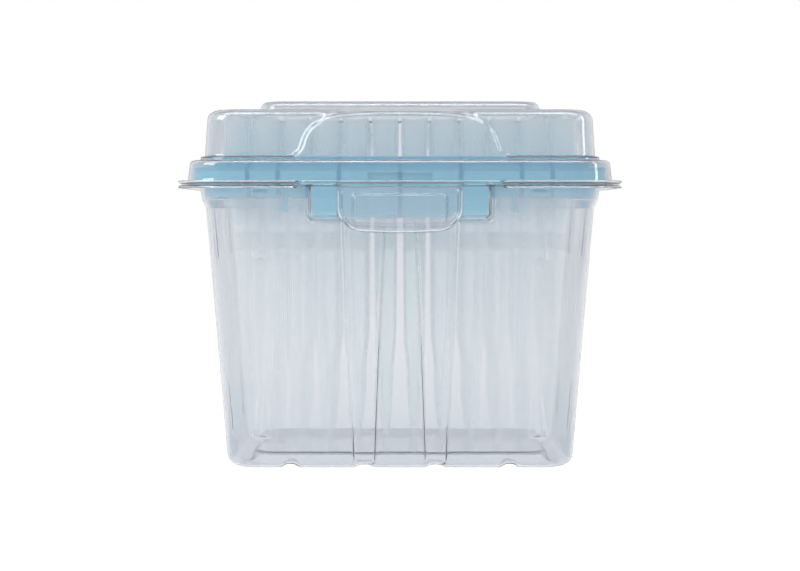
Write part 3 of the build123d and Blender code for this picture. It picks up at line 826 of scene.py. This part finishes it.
def tray_plastic():
    """Pale blue moulded polypropylene, a little waxy, deeper where ribs stand behind its rim."""
    material, nodes, links, shader = new_material("tray_plastic")
    shader.inputs["IOR"].default_value = 1.49
    shader.inputs["Roughness"].default_value = 0.38
    noise = noise_bump(nodes, links, shader, 500.0, 0.2, 0.00005)
    mottle = ramp(nodes, links, noise,
                  ((0.25, (0.17, 0.54, 0.70, 1)), (0.75, (0.22, 0.60, 0.76, 1))))
    height = axis_of(nodes, links, "Object", "Z")
    side = calculated(nodes, links, "ABSOLUTE", axis_of(nodes, links, "Object", "X"))
    ribs = tray_ribs(nodes, links, side)
    shelf = mapped(nodes, links, height, (RIM_Z - 1.4) * MM, (RIM_Z - 1.0) * MM, 0.0, 0.5)
    thick = calculated(nodes, links, "MAXIMUM", ribs, shelf)
    deep = blended(nodes, links, "MULTIPLY", thick, mottle, (0.12, 0.54, 0.70, 1))
    # beside the tongue the skirt is more see-through, and painted paler: painted light where it
    # lies in the flanges' shade
    low = mapped(nodes, links, height, TUB_TOP * MM, (TUB_TOP - 0.6) * MM)
    beside = calculated(nodes, links, "GREATER_THAN", side, POCKET_HALF * MM)
    clearer_and_painted_light = calculated(nodes, links, "MULTIPLY", low, beside)
    alpha = mapped(nodes, links, clearer_and_painted_light, 0.0, 1.0, 0.6, 0.36)
    links.new(alpha, shader.inputs["Alpha"])
    # painted light: the skirt beside the tongue is lightened in colour
    painted_light_share = calculated(nodes, links, "MULTIPLY", clearer_and_painted_light, 0.35)
    pale = blended(nodes, links, "MIX", painted_light_share, deep, (0.62, 0.86, 0.94, 1))
    links.new(pale, shader.inputs["Base Color"])
    pass_light(nodes, links, shader, (0.36, 0.58, 0.66, 1))
    return material


def filter_plastic():
    """Sintered white polyethylene: a fine grain of beads and pores."""
    material, nodes, links, shader = new_material("filter_plastic")
    shader.inputs["Roughness"].default_value = 0.9
    shader.inputs["Alpha"].default_value = 0.06
    beads = noise_bump(nodes, links, shader, 6000.0, 0.8, 0.00008, 1.0)
    color = ramp(nodes, links, beads,
                 ((0.3, (0.70, 0.70, 0.71, 1)), (0.6, (0.90, 0.90, 0.91, 1))))
    links.new(color, shader.inputs["Base Color"])
    return material


def dress(node, material):
    piece = frame["nodes"][node]
    piece.data.materials.clear()
    piece.data.materials.append(material)


# Stage

SEEN = "Is Camera Ray", "Is Transmission Ray", "Is Glossy Ray"  # rays that show the background


def make_floor():
    size = 3000.0
    z = cad_low[2] / MM - 0.02
    corners = [(-size, -size, z), (size, -size, z), (size, size, z), (-size, size, z)]
    material, nodes, links, shader = new_material("floor")
    shader.inputs["Roughness"].default_value = 0.7
    shader.inputs["Base Color"].default_value = (0.8, 0.8, 0.8, 1)
    shader.inputs["Specular IOR Level"].default_value = 0.0
    # what the camera and the clear sheets show: white, with the object's shadow
    pale = nodes.new("ShaderNodeBsdfDiffuse")
    pale.inputs["Color"].default_value = (0.20, 0.20, 0.20, 1)
    glow = nodes.new("ShaderNodeEmission")
    glow.inputs["Strength"].default_value = 0.90
    add = nodes.new("ShaderNodeAddShader")
    links.new(pale.outputs["BSDF"], add.inputs[0])
    links.new(glow.outputs["Emission"], add.inputs[1])
    mix = nodes.new("ShaderNodeMixShader")
    links.new(any_ray(nodes, links, *SEEN), mix.inputs["Fac"])
    links.new(shader.outputs["BSDF"], mix.inputs[1])
    links.new(add.outputs["Shader"], mix.inputs[2])
    links.new(mix.outputs["Shader"], nodes["Material Output"].inputs["Surface"])
    mesh = bpy.data.meshes.new("floor")
    mesh.from_pydata([(x * MM, y * MM, z * MM) for x, y, z in corners], [], [(0, 1, 2, 3)])
    floor = bpy.data.objects.new("floor", mesh)
    mesh.materials.append(material)
    bpy.context.scene.collection.objects.link(floor)


def make_world():
    """White where the camera or a clear sheet shows it, and a plain lamp for all else."""
    world = bpy.data.worlds.new("studio")
    bpy.context.scene.world = world
    world.use_nodes = True
    nodes, links = world.node_tree.nodes, world.node_tree.links
    lamp = nodes["Background"]
    lamp.inputs["Color"].default_value = (0.97, 0.985, 1.0, 1)
    lamp.inputs["Strength"].default_value = 0.5
    white = nodes.new("ShaderNodeBackground")
    white.inputs["Strength"].default_value = 1.0
    # the sheets' bends show a dimmer ceiling
    path = nodes.new("ShaderNodeLightPath")
    height = axis_of(nodes, links, "Generated", "Z")
    bent = calculated(nodes, links, "MULTIPLY", height, path.outputs["Is Transmission Ray"])
    ceiling = ramp(nodes, links, bent, ((0.35, grey(1)), (0.75, (0.30, 0.38, 0.46, 1))))
    links.new(ceiling, white.inputs["Color"])
    shown = any_ray(nodes, links, *SEEN[:2])
    share = calculated(nodes, links, "MULTIPLY_ADD", path.outputs["Is Glossy Ray"], 0.5, shown)
    share.node.use_clamp = True
    mix = nodes.new("ShaderNodeMixShader")
    links.new(share, mix.inputs["Fac"])
    links.new(lamp.outputs[0], mix.inputs[1])
    links.new(white.outputs[0], mix.inputs[2])
    links.new(mix.outputs["Shader"], nodes["World Output"].inputs["Surface"])


def make_lamp(name, place, size, radiance):
    """A soft box that faces the object."""
    light = bpy.data.lights.new(name, "AREA")
    light.shape = "RECTANGLE"
    light.size, light.size_y = size
    light.energy = radiance * math.pi * size[0] * size[1]
    lamp = bpy.data.objects.new(name, light)
    lamp.location = place
    middle = lamp.location.copy()
    middle.xyz = 0.0, 0.0, 0.07
    lamp.rotation_euler = (lamp.location - middle).to_track_quat("Z", "Y").to_euler()
    bpy.context.scene.collection.objects.link(lamp)


def make_camera():
    data = bpy.data.cameras.new("camera")
    data.sensor_width = 36.0
    data.lens = 71.3
    camera = bpy.data.objects.new("camera", data)
    camera.location = (0.0, -0.512, 0.078)
    camera.rotation_euler = (math.radians(90 - 2.66), 0, 0)
    bpy.context.scene.collection.objects.link(camera)
    bpy.context.scene.camera = camera


make_camera()
make_world()
make_lamp("key", (-0.45, -0.35, 0.45), (0.40, 0.40), 5.0)
make_lamp("top", (0.0, -0.15, 0.65), (0.70, 0.12), 6.0)
make_lamp("side", (0.60, -0.25, 0.35), (0.10, 0.50), 6.0)
make_floor()

arch = arch_line()
sheet_material = clear_sheet()
make_tub(sheet_material)
make_lid(sheet_material)
make_tab(sheet_material)
make_hinge(sheet_material)
tips, filters, tray = tip_plastic(), filter_plastic(), tray_plastic()
for node in frame["nodes"]:
    if node.startswith("tips_"):
        dress(node, tips)
    elif node.startswith("filters_"):
        dress(node, filters)
    elif node == "tip_tray":
        dress(node, tray)

scene = bpy.context.scene
scene.view_settings.view_transform = "Standard"
scene.cycles.max_bounces = 14
scene.cycles.transmission_bounces = 12
scene.cycles.transparent_max_bounces = 80  # a ray crosses eight rows of hollow tips
scene.cycles.glossy_bounces = 2
scene.cycles.diffuse_bounces = 2
scene.cycles.caustics_reflective = False
scene.cycles.caustics_refractive = False
